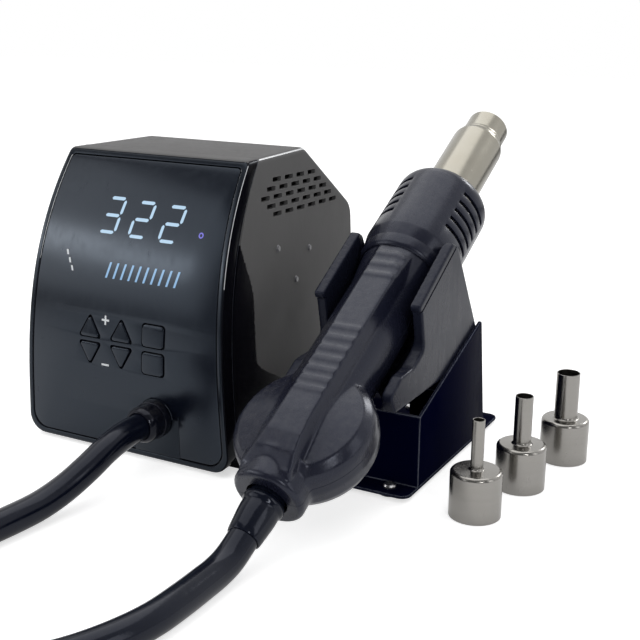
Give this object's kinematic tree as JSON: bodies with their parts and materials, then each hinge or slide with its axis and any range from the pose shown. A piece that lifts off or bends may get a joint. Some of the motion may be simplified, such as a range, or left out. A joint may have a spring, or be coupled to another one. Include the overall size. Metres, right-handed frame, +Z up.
{
  "type": "hot air rework station",
  "caption": "Desktop control box with a dark sloping display panel and keys, a sheet stand with a cradle, a slotted hot air hand-piece on a hose, and slip-on nozzles.",
  "frame": {"origin": "centre of the footprint of the box, stand, hand-piece and nozzles, on the bench top", "axes": "+X to the right seen from the front, +Y to the back, +Z up; the display looks along -Y"},
  "size_m": [0.266, 0.48, 0.1608],
  "materials": {
    "shell_black": "fine grained moulding",
    "gloss_black": "polished moulding",
    "smoked_panel": "polished dark panel",
    "display_white": "diffuse front",
    "board_green": "solder mask",
    "key_gloss": "polished moulding",
    "coil_yellow": "wrapping tape",
    "bare_aluminium": "extruded",
    "inlet_black": "satin moulding",
    "plated_metal": "plated",
    "pip_grey": "smooth",
    "screw_steel": "plated",
    "foot_rubber": "matt",
    "gland_black": "satin moulding",
    "stand_paint": "gloss paint on sheet",
    "cradle_charcoal": "fine grained moulding",
    "grip_charcoal": "fine grained moulding",
    "barrel_steel": "polished, slightly straw from heat",
    "mica_sheet": "rolled mica",
    "ceramic_white": "fired ceramic",
    "heater_wire": "resistance wire",
    "reed_glass": "clear",
    "nozzle_steel": "spun and brushed",
    "hose_rubber": "satin"
  },
  "bodies": {
    "station": {"housing": "shell_black", "base_pan": "shell_black", "bezel": "gloss_black", "lens_panel": "smoked_panel", "display_module": "display_white", "control_board": "board_green", "power_board": "board_green", "transformer": "coil_yellow", "heatsink": "bare_aluminium", "mains_inlet": "inlet_black", "inlet_pins": "plated_metal", "rocker_frame": "inlet_black", "side_pips": "pip_grey", "case_screws": "screw_steel", "rubber_feet": "foot_rubber", "gland_body": "gland_black", "gland_nut": "gland_black", "gland_locknut": "gland_black", "stand_bracket": "stand_paint", "cradle_shelf": "stand_paint", "cradle": "cradle_charcoal", "cradle_magnet": "plated_metal", "cradle_screws": "screw_steel", "stand_screws": "screw_steel", "stand_feet": "foot_rubber", "hose_station_run": "hose_rubber", "hose_coil": "hose_rubber", "hose_hand_run": "hose_rubber"},
    "hand_piece": {"grip_front": "grip_charcoal", "grip_rear": "grip_charcoal", "intake_grille": "grip_charcoal", "grip_screws": "screw_steel", "vent_collar": "grip_charcoal", "heater_barrel": "barrel_steel", "mica_tube": "mica_sheet", "heater_core": "ceramic_white", "heater_coil": "heater_wire", "hand_board": "board_green", "reed_switch": "reed_glass", "blower_motor": "plated_metal", "hose_relief": "hose_rubber"},
    "key_temp_up": {"key_temp_up": "key_gloss"},
    "key_temp_down": {"key_temp_down": "key_gloss"},
    "key_air_up": {"key_air_up": "key_gloss"},
    "key_air_down": {"key_air_down": "key_gloss"},
    "key_mode": {"key_mode": "key_gloss"},
    "key_set": {"key_set": "key_gloss"},
    "mains_rocker": {"rocker": "inlet_black"},
    "blower_wheel": {"impeller": "gland_black", "impeller_shaft": "plated_metal"},
    "nozzle_small": {"nozzle_small": "nozzle_steel"},
    "nozzle_medium": {"nozzle_medium": "nozzle_steel"},
    "nozzle_large": {"nozzle_large": "nozzle_steel"}
  },
  "joints": [
    {"name": "key_temp_up_press", "type": "slide", "parent": "station", "child": "key_temp_up", "axis": [0, 1, 0], "range_m": [0, 0.001], "stiffness_N_per_m": 300},
    {"name": "key_temp_down_press", "type": "slide", "parent": "station", "child": "key_temp_down", "axis": [0, 1, 0], "range_m": [0, 0.001], "stiffness_N_per_m": 300},
    {"name": "key_air_up_press", "type": "slide", "parent": "station", "child": "key_air_up", "axis": [0, 1, 0], "range_m": [0, 0.001], "stiffness_N_per_m": 300},
    {"name": "key_air_down_press", "type": "slide", "parent": "station", "child": "key_air_down", "axis": [0, 1, 0], "range_m": [0, 0.001], "stiffness_N_per_m": 300},
    {"name": "key_mode_press", "type": "slide", "parent": "station", "child": "key_mode", "axis": [0, 1, 0], "range_m": [0, 0.001], "stiffness_N_per_m": 300},
    {"name": "key_set_press", "type": "slide", "parent": "station", "child": "key_set", "axis": [0, 1, 0], "range_m": [0, 0.001], "stiffness_N_per_m": 300},
    {"name": "mains_rocker_tilt", "type": "hinge", "parent": "station", "child": "mains_rocker", "pos_m": [-0.0525, 0.1, 0.034], "axis": [0, 0, -1], "range_deg": [0, 16]},
    {"name": "hand_piece_lift", "type": "slide", "parent": "station", "child": "hand_piece", "axis": [0, -0.5, 0.866], "range_m": [0, 0.06]},
    {"name": "blower_spin", "type": "hinge", "parent": "hand_piece", "child": "blower_wheel", "pos_m": [0.04296, -0.07133, 0.0408], "axis": [-0.0122, -0.4999, 0.866], "continuous": true},
    {"name": "nozzle_small_lift", "type": "slide", "parent": "station", "child": "nozzle_small", "axis": [0, 0, 1], "range_m": [0, 0.06]},
    {"name": "nozzle_medium_lift", "type": "slide", "parent": "station", "child": "nozzle_medium", "axis": [0, 0, 1], "range_m": [0, 0.06]},
    {"name": "nozzle_large_lift", "type": "slide", "parent": "station", "child": "nozzle_large", "axis": [0, 0, 1], "range_m": [0, 0.06]}
  ]
}
